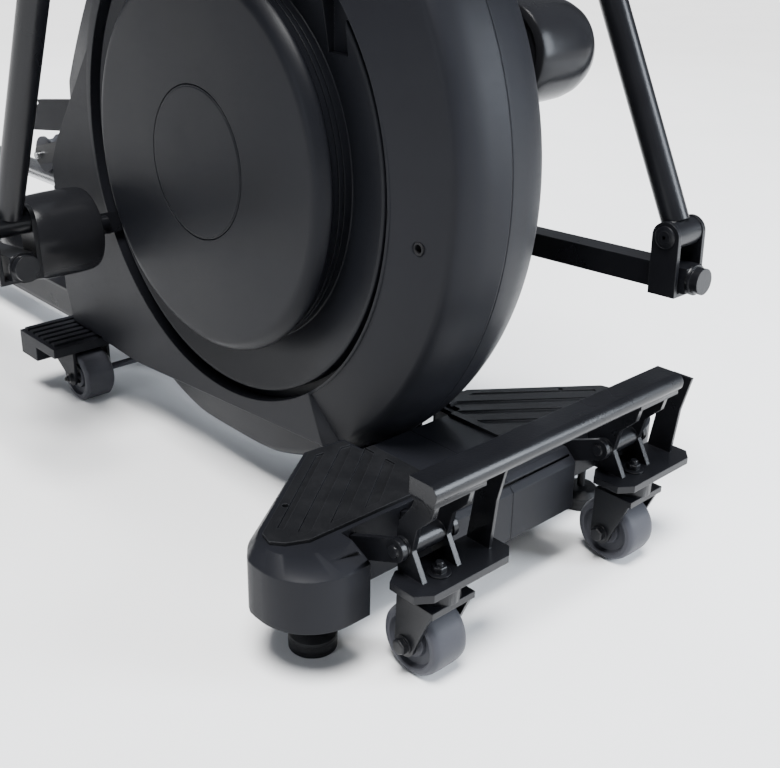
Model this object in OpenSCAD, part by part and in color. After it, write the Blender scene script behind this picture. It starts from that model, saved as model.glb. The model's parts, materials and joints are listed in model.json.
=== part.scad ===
// Front drive elliptical trainer, 22 inch stride, on retractable front casters.
// +X points to the front (mast and drum) end, +Z up, the origin lies on the floor
// under the middle of the machine.

/* [Crank and discs] */
// Distance of the crank centre in front of the origin
crank_x = 564; // [540:1:580]
// Height of the crank centre
crank_z = 419; // [400:1:440]
// Throw of the cranks
throw = 287; // [285:0.5:288]
// Angle of the right crank above the horizontal at rest
crank_angle = 27; // [0:1:60]
// Radius of the rotating side discs
disc_r = 282; // [270:1:282]
// Radius of the raised middle of a disc
dome_r = 226; // [210:1:235]
// Radius of the round centre cap of a disc
cap_r = 89; // [70:1:95]

/* [Housing] */
// Radius of the drum on its centre seam
drum_r = 392; // [385:1:400]
// Half of the housing width at its side faces
side_y = 80; // [78:1:84]
// Radius of the round side opening
opening_r = 293; // [292:0.5:296]
// Wall thickness of the shells
wall = 3; // [2.5:0.5:4]

/* [Front stabilizer and casters] */
// Half length of the front stabilizer cover
front_half = 288; // [280:1:300]
// Height of the step pads
pad_z = 137; // [130:1:145]
// Half distance between the casters
caster_y = 154; // [145:1:160]
// Caster wheel diameter
wheel_d = 75; // [60:1:75]
// Caster wheel width
wheel_w = 46; // [40:1:48]

/* [Swing arms and pedals] */
// Lateral distance of swing arms and link bars
link_y = 282; // [275:1:290]
// Lateral distance of the pedal arms
arm_y = 176; // [172:1:180]
// Height of the swing arm shaft
swing_z = 900; // [890:1:905]
// Lean of the swing arms away from vertical at rest
swing_angle = 25.8; // [20:0.1:30]
// Length of a swing arm below its shaft
swing_len = 610; // [600:0.1:620]
// Length of a pedal arm from crank pin to roller axle
arm_len = 1240; // [1200:1:1260]
// Height of the roller axles
roller_z = 235; // [225:1:245]
// Roller diameter
roller_d = 70; // [60:1:74]

/* [Hidden] */

$fn = 64;
eps = 0.01;
left = -1;
right = 1;

black = [0.06, 0.06, 0.07];
charcoal = [0.12, 0.12, 0.13];
steel = [0.55, 0.56, 0.58];

// Crank pins: the right one is up and forward, the left one down and rearward.
function pin_x(side) = crank_x + side * throw * cos(crank_angle);
function pin_z(side) = crank_z + side * throw * sin(crank_angle);

// Roller axles: the pedal arm slopes from its crank pin down to the rail.
function roller_x(side) = pin_x(side) - sqrt(pow(arm_len, 2) - pow(pin_z(side) - roller_z, 2));
function arm_slope(side) = asin((pin_z(side) - roller_z) / arm_len);

// Swing arms hang from one shaft and lean opposite ways.
swing_x = crank_x + 130.5;
function swing_low_x(side) = swing_x + side * swing_len * sin(swing_angle);
swing_low_z = swing_z - swing_len * cos(swing_angle);

// Link bars reach from the swing arm to the pedal arm.
link_reach = 912;
function link_end_x(side) = pin_x(side) - link_reach * cos(arm_slope(side));
function link_end_z(side) = pin_z(side) - link_reach * sin(arm_slope(side));
function link_slope(side) = atan2(swing_low_z - link_end_z(side),
                                  swing_low_x(side) - link_end_x(side));
function link_len(side) = norm([swing_low_x(side) - link_end_x(side),
                                swing_low_z - link_end_z(side)]);
link_drop = 50;

pulley_r = 110;
small_pulley_r = 22;
flywheel_r = 105;
flywheel_x = crank_x - 195;
flywheel_z = 352;
idler_x = crank_x - 95;
idler_z = 299;
idler_pivot_x = crank_x - 8;
idler_pivot_z = 250;
rail_top = 110;
rail_bottom = 62;
rail_half = 30;
rail_front_x = crank_x + 350;
rear_x = crank_x - 1560;
wheel_x = crank_x + 438;
kingpin_x = wheel_x + 15;
hinge_x = crank_x + 430;
hinge_z = 142;
beam_x = crank_x + 320;
beam_depth = 41;
transport_x = crank_x - 343;
rail_tube_r = 19;
rail_tube_z = roller_z - roller_d / 2 - rail_tube_r + 7;
mast_lean = atan2(crank_x + 160 - swing_x, swing_z - rail_top);
mast_up = 400;

// ---------- helpers ----------

// Cylinder along Y between two y values
module rod_y(r, y0, y1) {
    translate([0, y0, 0])
        rotate([-90, 0, 0])
            cylinder(r = r, h = y1 - y0);
}

// Tube along Y between two y values
module tube_y(ro, ri, y0, y1) {
    difference() {
        rod_y(ro, y0, y1);
        rod_y(ri, y0 - 1, y1 + 1);
    }
}

// Outline drawn in the XZ plane and extruded along Y
module slab_y(y0, y1) {
    translate([0, y1, 0])
        rotate([90, 0, 0])
            linear_extrude(y1 - y0)
                children();
}

// Profile with (radius, outward distance) turned about the Y axis on one side
module turned_y(side) {
    rotate([side * -90, 0, 0])
        rotate_extrude($fn = 128)
            children();
}

// Flat bar in the XZ plane with round ends
module link_plate(p, q, r, y0, y1) {
    d = q - p;
    translate([p[0], 0, p[1]])
        rotate([0, -atan2(d[1], d[0]), 0]) {
            rod_y(r, y0, y1);
            translate([norm(d), 0, 0])
                rod_y(r, y0, y1);
            translate([0, y0, -r])
                cube([norm(d), y1 - y0, 2 * r]);
        }
}

// Rounded box, vertical edges rounded, standing on z = 0, centred in x and y
module round_box(size, r) {
    linear_extrude(size[2])
        rounded_rect(size[0], size[1], r);
}

module rounded_rect(w, d, r) {
    square([w - 2 * r, d], center = true);
    square([w, d - 2 * r], center = true);
    for (sx = [-1, 1], sy = [-1, 1])
        translate([sx * (w / 2 - r), sy * (d / 2 - r)])
            circle(r);
}

// ---------- frame ----------

module main_frame() {
    color(black) {
        // floor rail, a box tube
        difference() {
            translate([rear_x, -rail_half, rail_bottom])
                cube([rail_front_x - rear_x, 2 * rail_half, rail_top - rail_bottom]);
            translate([rear_x - 1, -rail_half + 3, rail_bottom + 3])
                cube([rail_front_x - rear_x + 2, 2 * rail_half - 6, rail_top - rail_bottom - 6]);
        }
        // strut and shell that carry the crank bearings
        difference() {
            union() {
                translate([crank_x, 0, crank_z])
                    rod_y(30, -8, 33);
                translate([crank_x - 22, -6, rail_top])
                    cube([44, 36, crank_z - rail_top - 20]);
                link_plate([crank_x + 28, crank_z], [crank_x + 150, crank_z + 6], 20, -6, 30);
                // pivot pin of the belt tensioner
                translate([idler_pivot_x, 0, idler_pivot_z])
                    rod_y(5, -19, 0);
            }
            translate([crank_x, 0, crank_z])
                rod_y(21, -20, 40);
            mast_tube(30.02, 740);
        }
        // post and pin of the magnetic brake arm
        translate([flywheel_x - 121, 18, rail_top])
            cube([18, 8, flywheel_z - 40 - rail_top]);
        translate([flywheel_x - 112, 0, flywheel_z - 50])
            rod_y(4, -9, 19);
        // fork that carries the flywheel axle
        translate([flywheel_x - 20, -35, rail_top - eps])
            cube([40, 68.5, 4]);
        for (y0 = [-35, 30])
            difference() {
                union() {
                    translate([flywheel_x - 20, y0, rail_top])
                        cube([40, 3.5, flywheel_z - rail_top]);
                    translate([flywheel_x, 0, flywheel_z])
                        rod_y(20, y0, y0 + 3.5);
                }
                translate([flywheel_x, 0, flywheel_z])
                    rod_y(6, y0 - 1, y0 + 5);
            }
        // cross tube and posts under the roller rails
        for (x = [rear_x + 640, rear_x + 20])
            rail_support(x);
    }
}

// Cross tube with two posts that end in saddles under the rails
module rail_support(x) {
    translate([x - 20, -arm_y - 20, rail_bottom + 8])
        difference() {
            cube([40, 2 * arm_y + 40, 32]);
            translate([3, -1, 3])
                cube([34, arm_y - rail_half + 21, 26]);
            translate([3, arm_y + rail_half + 20, 3])
                cube([34, arm_y - rail_half + 21, 26]);
        }
    for (side = [left, right])
        translate([x - 16, side * arm_y - 10, rail_bottom + 40])
            difference() {
                cube([32, 20, rail_tube_z - rail_bottom - 40]);
                translate([16, 10, rail_tube_z - rail_bottom - 40])
                    rotate([0, 90, 0])
                        cylinder(r = rail_tube_r, h = 60, center = true);
            }
}

// Steel cross beam of the front stabilizer with the hinge lugs of the lift carriage
module front_beam() {
    color(black) {
        translate([beam_x, -236, 82])
            difference() {
                cube([beam_depth, 472, 40]);
                translate([3, -1, 3])
                    cube([beam_depth - 6, 474, 34]);
                translate([-1, 236 - rail_half, rail_bottom - 82])
                    cube([rail_front_x - beam_x + 1, 2 * rail_half, rail_top - rail_bottom]);
            }
        for (side = [left, right], dy = [-34, 34])
            difference() {
                union() {
                    link_plate([beam_x + beam_depth - 14, 108], [hinge_x, hinge_z], 12,
                               side * caster_y + dy - 3, side * caster_y + dy + 3);
                }
                translate([hinge_x, 0, hinge_z])
                    rod_y(6.05, side * caster_y + dy - 5, side * caster_y + dy + 5);
            }
    }
    color(steel)
        for (side = [left, right])
            translate([hinge_x, 0, hinge_z]) {
                rod_y(6.06, side * caster_y - 40, side * caster_y - 30.6);
                rod_y(6, side * caster_y - 40, side * caster_y + 40);
                rod_y(6.06, side * caster_y + 30.6, side * caster_y + 40);
            }
}

// One half of the plastic cover over the front beam
module front_cover(side) {
    color(charcoal)
        translate([crank_x, 0, 0])
            mirror([0, side < 0 ? 1 : 0, 0])
                difference() {
                    union() {
                        translate([0, 0, 66])
                            linear_extrude(57)
                                cover_plan();
                        translate([0, 0, 123 - eps])
                            cover_top();
                    }
                    // hollow underneath
                    translate([0, 0, 60])
                        linear_extrude(pad_z - 66)
                            polygon([
                                [210, -1], [226, 52], [216, 126], [326, 276], [346, 276],
                                [374, 258], [392, 236], [400, 206], [365, 206], [365, 102],
                                [404, 102], [404, -1]
                            ]);
                    // caster recess
                    translate([368, 105, 50])
                        cube([80, 98, 120]);
                    // drum of the housing
                    translate([-8, 0, 430])
                        rod_y(drum_r + 0.5, -10, 72);
                    // floor rail
                    translate([100, -1, 50])
                        cube([rail_front_x - crank_x - 99.5, rail_half + 1.5, rail_top - 49.5]);
                    // slots for the hinge lugs
                    for (dy = [-34, 34])
                        translate([350, caster_y + dy - 4, 90])
                            cube([22, 8, 40.6]);
                    // split plane
                    translate([100, -20, 40])
                        cube([400, 20.2, 120]);
                }
}

// Plan outline of the front cover, right half
module cover_plan() {
    polygon([
        [223, 0], [223, 55], [211, 127], [318, 277], [324, 283], [332, 287], [341, front_half],
        [351, front_half], [351, 228], [411, 228], [411, 0]
    ]);
    translate([351, 228])
        circle(r = 60);
}

// Bevelled upper edge of the front cover
module cover_top() {
    hull() {
        linear_extrude(0.1)
            cover_plan();
        translate([0, 0, pad_z - 123 + eps - 0.1])
            linear_extrude(0.1) {
                polygon([
                    [226, 0], [226, 58], [217, 126], [322, 270], [341, 272],
                    [376, 203], [396, 105], [396, 0]
                ]);
                translate([342, 236])
                    circle(r = 38);
            }
    }
}

// Anti-slip pads with diagonal ribs on top of the front covers
module step_pads() {
    color(black)
        translate([crank_x, 0, pad_z])
            for (side = [left, right])
                mirror([0, side < 0 ? 1 : 0, 0])
                    difference() {
                        linear_extrude(4)
                            pad_plan();
                        translate([0, 0, 1.5])
                            linear_extrude(6)
                                intersection() {
                                    pad_field();
                                    for (i = [-2:3])
                                        translate([270 + 19 * i, 170 - 19 * i])
                                            rotate(54)
                                                translate([-160, -6])
                                                    square([320, 12]);
                                }
                        translate([298, 216, -1])
                            cylinder(d = 7, h = 10);
                        translate([-8, 0, 430 - pad_z])
                            rod_y(drum_r + 0.8, -10, 80);
                    }
}

module pad_plan() {
    polygon([
        [232, 62], [224, 126], [324, 264], [340, 268], [352, 258], [362, 236],
        [364, 62]
    ]);
}

module pad_field() {
    polygon([[242, 72], [235, 124], [326, 248], [352, 232], [354, 72]]);
}

// Levelling foot: threaded stud and round rubber foot
module levelling_foot(top) {
    cylinder(d = 50, h = 16);
    translate([0, 0, 16])
        cylinder(d1 = 50, d2 = 34, h = 8);
    translate([0, 0, 20])
        cylinder(d = 10, h = top - 20);
}

module front_feet() {
    color(black)
        for (side = [left, right])
            translate([crank_x + 341, side * 217, 0])
                levelling_foot(82);
}

// Short cover over the floor rail between housing and front stabilizer
module neck_cover() {
    color(charcoal)
        difference() {
            translate([crank_x + 141, -40, rail_bottom - 2])
                cube([81.7, 80, 56]);
            translate([crank_x + 100, -rail_half, rail_bottom - 5])
                cube([200, 2 * rail_half, rail_top - rail_bottom + 5]);
            mast_tube(30.3, 0);
        }
}

// Ribbed step block and bracket that carries the transport wheels
module mid_block() {
    color(charcoal)
        translate([transport_x, 0, 0])
            difference() {
                union() {
                    for (side = [left, right]) {
                        translate([-95, side * 92 - 60, 80])
                            cube([109, 120, 14]);
                        translate([-95, side * 92 - 60, 58])
                            cube([50, 120, 24]);
                        for (i = [0:5])
                            translate([-90 + 17 * i, side * 92 - 54, 93])
                                cube([9, 108, 5]);
                        for (dy = [-30, 26])
                            slab_y(side * 92 + dy, side * 92 + dy + 4)
                                union() {
                                    translate([0, 37.5])
                                        circle(r = 12);
                                    polygon([[-46, 58], [-46, 82], [12, 82], [12, 37.5], [-12, 37.5]]);
                                }
                    }
                    translate([-95, -60, 56])
                        cube([50, 120, 6 - eps]);
                }
                translate([-100, -rail_half - 0.02, rail_bottom - eps])
                    cube([140, 2 * rail_half + 0.04, 60]);
                translate([0, 0, 37.5])
                    rod_y(5.05, -140, 140);
            }
}

// Two fixed transport wheels on one through axle
module transport_wheels() {
    color(charcoal)
        translate([transport_x, 0, 37.5]) {
            for (side = [left, right])
                translate([0, side * 92, 0])
                    wheel(wheel_d, 46);
            rod_y(5, -128, 128);
        }
}

// Wheel with rounded shoulders and a dished hub on both faces
module wheel(d, w) {
    turned_y(right)
        polygon([
            [0, -w / 2 + 7], [10, -w / 2 + 7], [11, -w / 2 + 3], [17, -w / 2 + 3],
            [18, -w / 2 + 8], [d / 2 - 11, -w / 2 + 6], [d / 2 - 9, -w / 2],
            [d / 2 - 4, -w / 2], [d / 2, -w / 2 + 4], [d / 2, w / 2 - 4],
            [d / 2 - 4, w / 2], [d / 2 - 9, w / 2], [d / 2 - 11, w / 2 - 6],
            [18, w / 2 - 8], [17, w / 2 - 3], [11, w / 2 - 3], [10, w / 2 - 7],
            [0, w / 2 - 7]
        ]);
}

module rear_stabilizer() {
    color(black)
        translate([rear_x - 40, 0, 0]) {
            difference() {
                translate([-5, -290, 30])
                    cube([45 - eps, 580, 40]);
                translate([-2, -291, 33])
                    cube([39, 582, 34]);
            }
            for (side = [left, right])
                translate([17.5, side * 290, 28])
                    round_box([49, 24, 44], 6);
            // riser to the floor rail
            translate([0, -28, 70])
                cube([39.5, 56, 38]);
        }
}

module rear_feet() {
    color(black)
        for (side = [left, right])
            translate([rear_x - 23, side * 255, 0])
                levelling_foot(30);
}

module roller_rails() {
    color(steel)
        for (side = [left, right])
            translate([rear_x - 10, side * arm_y, rail_tube_z])
                rotate([0, 90, 0])
                    difference() {
                        cylinder(r = rail_tube_r, h = 690);
                        translate([0, 0, 3])
                            cylinder(r = rail_tube_r - 2, h = 700);
                    }
}

// ---------- housing ----------

// Half section of the drum: (radius, outward distance) from the seam to the side opening
module drum_section(inset) {
    polygon([
        [0, -1], [drum_r - inset, -1], [drum_r - inset, 2], [drum_r - 1.5 - inset, 16],
        [drum_r - 4 - inset, 34], [drum_r - 9 - inset, 50], [drum_r - 14 - inset, 60 - inset / 3],
        [drum_r - 20 - inset, 64 - inset / 2], [opening_r, side_y - inset], [0, side_y - inset]
    ]);
}

// Side view of the flat tail behind the drum
module tail_outline() {
    polygon([
        [192, 120], [-227, 92], [-402, 102], [-418, 150], [-424, 344],
        [-408, 372], [-272, 540], [-160, 678], [-60, 690]
    ]);
}

// Region of the side view that the whole housing stays in
module housing_limit() {
    polygon([
        [420, 62], [420, 860], [-66, 860], [-292, 576], [-440, 385], [-440, 62]
    ]);
}

// Solid body of the housing, inset on all sides
module housing_body(inset) {
    intersection() {
        union() {
            translate([-8, 0, 430])
                for (side = [left, right])
                    turned_y(side)
                        drum_section(inset);
            hull() {
                slab_y(-side_y + inset, side_y - inset)
                    offset(delta = -inset)
                        tail_outline();
                slab_y(-62 + inset, 62 - inset)
                    offset(delta = 14 - inset)
                        tail_outline();
            }
        }
        slab_y(-100, 100)
            offset(delta = -inset)
                housing_limit();
    }
}

// One half shell of the housing
module housing(side) {
    color(charcoal)
        translate([crank_x, 0, 0])
            difference() {
                union() {
                    difference() {
                        housing_body(0);
                        housing_body(wall);
                    }
                    // collar that lines the side opening
                    translate([0, 0, crank_z])
                        turned_y(side)
                            polygon([
                                [opening_r, 64], [opening_r + 3, 64],
                                [opening_r + 3, side_y - 1.2], [opening_r, side_y - 0.4]
                            ]);
                    // screw bosses on the seam
                    intersection() {
                        for (p = boss_places)
                            translate([p[0], 0, p[1]])
                                rod_y(7, side < 0 ? -90 : 0.2, side < 0 ? -0.2 : 90);
                        housing_body(0.5);
                    }
                }
                // side opening for the disc
                translate([0, 0, crank_z])
                    rod_y(opening_r, side < 0 ? -120 : 60, side < 0 ? -60 : 120);
                // split plane
                translate([-500, side < 0 ? -0.2 : -100.2, 0])
                    cube([1000, 100.4, 1000]);
                // floor rail
                translate([-500, -rail_half - 0.5, 50])
                    cube([1000, 2 * rail_half + 1, rail_top - 49.5]);
                // mast
                translate([swing_x - crank_x, -36, swing_z - 160])
                    rotate([0, -mast_lean, 0])
                        translate([-36, 0, 0])
                            cube([72, 72, 300]);
                // front stabilizer neck
                translate([139, -40.4, 50])
                    cube([100, 80.8, 66.4]);
                // transport wheel block
                translate([transport_x - crank_x - 200, -100, 50])
                    cube([230, 200, 50]);
                // screws, put in from the right side
                for (p = boss_places)
                    translate([p[0], 0, p[1]]) {
                        rod_y(2.5, -24, 60);
                        rod_y(5, 30, 100);
                    }
                // power inlet
                translate(inlet_place)
                    rod_y(7, -30, 30);
            }
}

// Seam screw bosses, in x from the crank centre and z
boss_places = [[-392, 200], [-380, 330], [290, 650], [345, 280], [20, 760]];
inlet_place = [329, -60, 386];

module housing_screws() {
    color(steel)
        translate([crank_x, 0, 0])
            for (p = boss_places)
                translate([p[0], 0, p[1]]) {
                    rod_y(2.5, -20, 30);
                    rod_y(4.6, 30, 33);
                }
}

// ---------- mast and console ----------

// Square mast tube in its leaning frame, cut level with the floor rail
module mast_tube(half, up) {
    intersection() {
        translate([swing_x, 0, swing_z])
            rotate([0, -mast_lean, 0])
                translate([-half, -half, -860])
                    cube([2 * half, 2 * half, 860 + up]);
        translate([swing_x - 400, -100, rail_top])
            cube([800, 200, 2000]);
    }
}

module mast() {
    color(black)
        difference() {
            mast_tube(30, mast_up);
            // bore of the swing shaft
            translate([swing_x, 0, swing_z])
                rod_y(12.45, -50, 50);
            // hollow tube
            translate([0, 0, -1])
                mast_tube(26, mast_up - 10);
            // bore of the handlebar
            translate([swing_x, 0, swing_z])
                rotate([0, -mast_lean, 0])
                    translate([0, 0, mast_up - 150])
                        rod_y(16, -50, 50);
        }
}

// Two part shroud that closes the top of the housing around the mast
module mast_cover() {
    color(charcoal)
        translate([swing_x, 0, swing_z])
            rotate([0, -mast_lean, 0])
                difference() {
                    hull() {
                        translate([-30, 0, -110])
                            linear_extrude(1)
                                rounded_rect(190, 120, 26);
                        translate([0, 0, 90])
                            linear_extrude(1)
                                rounded_rect(92, 84, 20);
                    }
                    translate([-30.2, -30.2, -130])
                        cube([60.4, 60.4, 260]);
                    translate([0, 0, 0])
                        rotate([0, mast_lean, 0])
                            rod_y(24, -80, 80);
                    rotate([0, mast_lean, 0])
                        translate([-8 + crank_x - swing_x, 0, 430 - swing_z])
                            rod_y(drum_r + 0.4, -90, 90);
                }
}

// Frame that follows the mast head
module on_mast() {
    translate([swing_x, 0, swing_z])
        rotate([0, -mast_lean, 0])
            translate([0, 0, mast_up])
                children();
}

module console_body() {
    color(charcoal)
        on_mast()
            translate([-34, 0, 0.3])
                rotate([0, -62, 0])
                    difference() {
                        union() {
                            translate([0, 0, -10])
                                rotate([0, 0, 90])
                                    hull() {
                                        round_box([300, 190, 26], 28);
                                        translate([0, 6, -24])
                                            round_box([200, 120, 30], 24);
                                    }
                        }
                        translate([30, 0, 10])
                            rotate([0, 0, 90])
                                round_box([190, 92, 10], 5);
                        for (s = [left, right])
                            translate([-62, s * 30, 4])
                                cylinder(d = 24.6, h = 20);
                        // seat on the mast head
                        rotate([0, 62, 0])
                            translate([34 - 30.2, -30.2, -140])
                                cube([60.4, 60.4, 139.75]);
                    }
}

module console_screen() {
    color([0.1, 0.12, 0.14])
        on_mast()
            translate([-34, 0, 0.3])
                rotate([0, -62, 0])
                    translate([30, 0, 10.1])
                        rotate([0, 0, 90])
                            round_box([189.4, 91.4, 4], 5);
}

module console_key(side) {
    color([0.3, 0.31, 0.33])
        on_mast()
            translate([-34, 0, 0.3])
                rotate([0, -62, 0])
                    translate([-62, side * 30, 8]) {
                        cylinder(d = 24, h = 10);
                        translate([-5, -1, 10 - eps])
                            cube([10, 2, 0.8]);
                    }
}

// Fixed handlebar: cross tube through the mast and two forward horns
module handlebar() {
    color(black)
        translate([swing_x, 0, swing_z])
            rotate([0, -mast_lean, 0])
                translate([0, 0, mast_up - 150]) {
                    rod_y(16, -150, 150);
                    for (side = [left, right])
                        translate([0, side * 150, 0])
                            rotate([0, -84, 0]) {
                                sphere(r = 16);
                                cylinder(r = 16, h = 230);
                            }
                }
}

module handlebar_grips() {
    color(charcoal)
        translate([swing_x, 0, swing_z])
            rotate([0, -mast_lean, 0])
                translate([0, 0, mast_up - 150])
                    for (side = [left, right])
                        translate([0, side * 150, 0])
                            rotate([0, -84, 0])
                                translate([0, 0, 60])
                                    difference() {
                                        cylinder(r = 20, h = 176);
                                        translate([0, 0, -1])
                                            cylinder(r = 16, h = 171.2);
                                    }
}

// ---------- drive ----------

module crank_bearings() {
    color(steel)
        translate([crank_x, 0, crank_z])
            for (y0 = [-7.5, 20])
                tube_y(21, 10.05, y0, y0 + 12);
}

module flywheel_axle() {
    color(steel)
        translate([flywheel_x, 0, flywheel_z])
            rod_y(6, -35, 35);
}

// Closed belt around crank pulley and flywheel pulley
module drive_belt() {
    color(black)
        slab_y(-30, -20)
            difference() {
                belt_outline(3);
                belt_outline(0.5);
            }
}

module belt_outline(grow) {
    hull() {
        translate([flywheel_x, flywheel_z])
            circle(r = small_pulley_r + grow, $fn = 72);
        translate([crank_x, crank_z])
            circle(r = pulley_r + grow, $fn = 144);
    }
}

module servo_motor() {
    color(charcoal)
        translate([crank_x - 350, 0, 180]) {
            translate([-22, -20, 0])
                cube([44, 40, 56]);
            translate([0, 0, 56])
                cylinder(d = 12, h = 8);
            translate([-14, -12, rail_top - 180])
                cube([28, 24, 180 - rail_top]);
        }
}

module power_inlet() {
    color(black)
        translate([crank_x, 0, 0])
            translate(inlet_place)
                difference() {
                    rod_y(6.8, -11, 16);
                    rod_y(4.6, -12, 8);
                }
}

module crank_axle() {
    color(steel)
        translate([crank_x, 0, crank_z])
            rod_y(10, -104, 104);
}

// Arms behind the discs; a lug at each end passes the gap around the disc
module crank_arms() {
    color(black)
        translate([crank_x, 0, crank_z])
            for (side = [left, right])
                rotate([0, side > 0 ? -crank_angle : 180 - crank_angle, 0])
                    mirror([0, side < 0 ? 1 : 0, 0]) {
                        difference() {
                            union() {
                                rod_y(28, 36, 47);
                                translate([0, 36, -19])
                                    cube([disc_r + 2.2, 10, 38]);
                                translate([-150, 36, -14])
                                    cube([150, 10, 28]);
                                translate([disc_r + 1, 36, -14])
                                    cube([7.6, 62, 28]);
                            }
                            rod_y(10, 30, 60);
                        }
                        translate([throw, 0, 0])
                            rod_y(11, 90, 117);
                    }
}

module drive_pulley() {
    color(black)
        translate([crank_x, 0, crank_z])
            difference() {
                union() {
                    difference() {
                        rod_y(pulley_r, -31, -19);
                        rod_y(pulley_r - 10, -28, -18);
                    }
                    rod_y(24, -32, -12);
                }
                rod_y(10, -40, 0);
                for (a = [0:60:300])
                    rotate([0, a, 0])
                        translate([62, 0, 0])
                            rod_y(18, -40, 0);
            }
}

// Rotating side disc: raised middle, grooved side wall, dished rim and dust lip
module disc(side) {
    rim = side_y - 7;
    face = side_y + 28.5;
    color(charcoal)
        translate([crank_x, 0, crank_z])
            difference() {
                turned_y(side)
                    polygon([
                        [10, face], [cap_r, face], [cap_r, face - 5], [cap_r + 1, face - 5],
                        [cap_r + 1, face], [dome_r - 14, face], [dome_r, face - 15],
                        [dome_r - 4, face - 20], [dome_r - 5, face - 28],
                        [dome_r - 7, face - 28], [dome_r - 7, face - 30],
                        [dome_r - 5.4, face - 30], [dome_r - 6, face - 36],
                        [dome_r - 8, face - 36], [dome_r - 8, face - 38],
                        [dome_r - 6.4, face - 38], [dome_r - 8, face - 50],
                        [disc_r - 3, rim], [disc_r, rim - 1], [disc_r, 51.5], [disc_r + 18, 51.5],
                        [disc_r + 18, 49.5], [disc_r - 2.5, 49.5], [disc_r - 2.5, rim - 4.5],
                        [dome_r - 8, face - 53.5], [dome_r - 12, face - 53.5],
                        [dome_r - 12, face - 18], [dome_r - 20, face - 4], [10, face - 8]
                    ]);
                // channel across the rim
                rotate([0, side < 0 ? 0 : 180, 0])
                    translate([183, side < 0 ? -side_y : 54, 139])
                        cube([39, side_y - 54, 130]);
                // notch for the lug of the crank arm
                rotate([0, side > 0 ? -crank_angle : 180 - crank_angle, 0])
                    translate([disc_r - 2, side < 0 ? -99 : 45, -16])
                        cube([12, 54, 32]);
            }
}

// Centre caps that close the hubs of the discs
module disc_caps() {
    color(charcoal)
        translate([crank_x, 0, crank_z])
            for (side = [left, right])
                turned_y(side)
                    polygon([
                        [0, side_y + 29], [cap_r - 3, side_y + 29],
                        [cap_r - 2, side_y + 28.7], [cap_r - 2, side_y + 28.5], [0, side_y + 28.5]
                    ]);
}

module flywheel() {
    color(steel)
        translate([flywheel_x, 0, flywheel_z])
            difference() {
                union() {
                    difference() {
                        rod_y(flywheel_r, -6, 14);
                        rod_y(flywheel_r - 22, 8, 16);
                        rod_y(flywheel_r - 22, -8, 0);
                        for (a = [0:60:300])
                            rotate([0, a, 0])
                                translate([52, 0, 0])
                                    rod_y(14, -20, 30);
                    }
                    rod_y(small_pulley_r, -31, 4);
                    rod_y(20, 4, 28);
                }
                rod_y(6.05, -40, 40);
            }
}

// Belt tensioner arm on the bearing strut
module idler_arm() {
    color(steel)
        difference() {
            union() {
                link_plate([idler_pivot_x, idler_pivot_z], [idler_x, idler_z], 10, -17, -12);
                translate([idler_x, 0, idler_z])
                    rod_y(5, -31, -12);
            }
            translate([idler_pivot_x, 0, idler_pivot_z])
                rod_y(5.05, -20, -10);
        }
}

module idler_wheel() {
    color(black)
        translate([idler_x, 0, idler_z])
            tube_y(15.6, 5.05, -30.5, -18);
}

// Magnetic brake shoe beside the flywheel rim
module magnet_arm() {
    color(steel)
        translate([flywheel_x, 0, flywheel_z])
            difference() {
                union() {
                    intersection() {
                        tube_y(flywheel_r + 14, flywheel_r + 4, -4, 12);
                        translate([-200, -10, -40])
                            cube([120, 40, 110]);
                    }
                    translate([-flywheel_r - 16, -4, -52])
                        cube([10, 16, 36]);
                    translate([-flywheel_r - 7, 0, -50])
                        rod_y(9, -8, 16);
                }
                translate([-flywheel_r - 7, 0, -50])
                    rod_y(4.05, -20, 30);
            }
}

// ---------- swing arms and links ----------

module swing_shaft() {
    color(steel)
        translate([swing_x, 0, swing_z])
            rod_y(12.45, -link_y - 24, link_y + 24);
}

// Frame at the swing shaft, -Z running down the arm
module on_swing(side) {
    translate([swing_x, side * link_y, swing_z])
        rotate([0, -side * swing_angle, 0])
            children();
}

module swing_arm(side) {
    color(black)
        on_swing(side)
            difference() {
                union() {
                    // lower tube
                    translate([0, 0, -swing_len + 14])
                        cylinder(r = 16, h = swing_len - 30);
                    // shaft hub
                    rod_y(25, -22, 22);
                    // lower bush
                    translate([0, 0, -swing_len])
                        rod_y(16.5, -21, 21);
                    // upper tube with one bend to the rear
                    translate([0, 0, 14])
                        cylinder(r = 16, h = 366);
                    translate([0, 0, 380])
                        sphere(r = 16.4);
                    translate([0, 0, 380])
                        rotate([0, -18, 0])
                            cylinder(r = 16, h = 330);
                }
                rod_y(12.5, -40, 40);
                translate([0, 0, -swing_len])
                    rod_y(8.05, -40, 40);
                // tube walls
                translate([0, 0, -swing_len + 22])
                    cylinder(r = 14, h = swing_len - 50);
                translate([0, 0, 28])
                    cylinder(r = 14, h = 330);
                translate([0, 0, 380])
                    rotate([0, -18, 0])
                        translate([0, 0, 20])
                            cylinder(r = 14, h = 320);
            }
}

module swing_grip(side) {
    color(charcoal)
        on_swing(side)
            translate([0, 0, 380])
                rotate([0, -18, 0])
                    translate([0, 0, 60])
                        difference() {
                            cylinder(r = 20, h = 276);
                            translate([0, 0, -1])
                                cylinder(r = 16, h = 271.2);
                        }
}

// Frame at the lower bush of a swing arm, -X running along the link bar
module on_link(side) {
    translate([swing_low_x(side), side * link_y, swing_low_z])
        rotate([0, -link_slope(side), 0])
            children();
}

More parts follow.
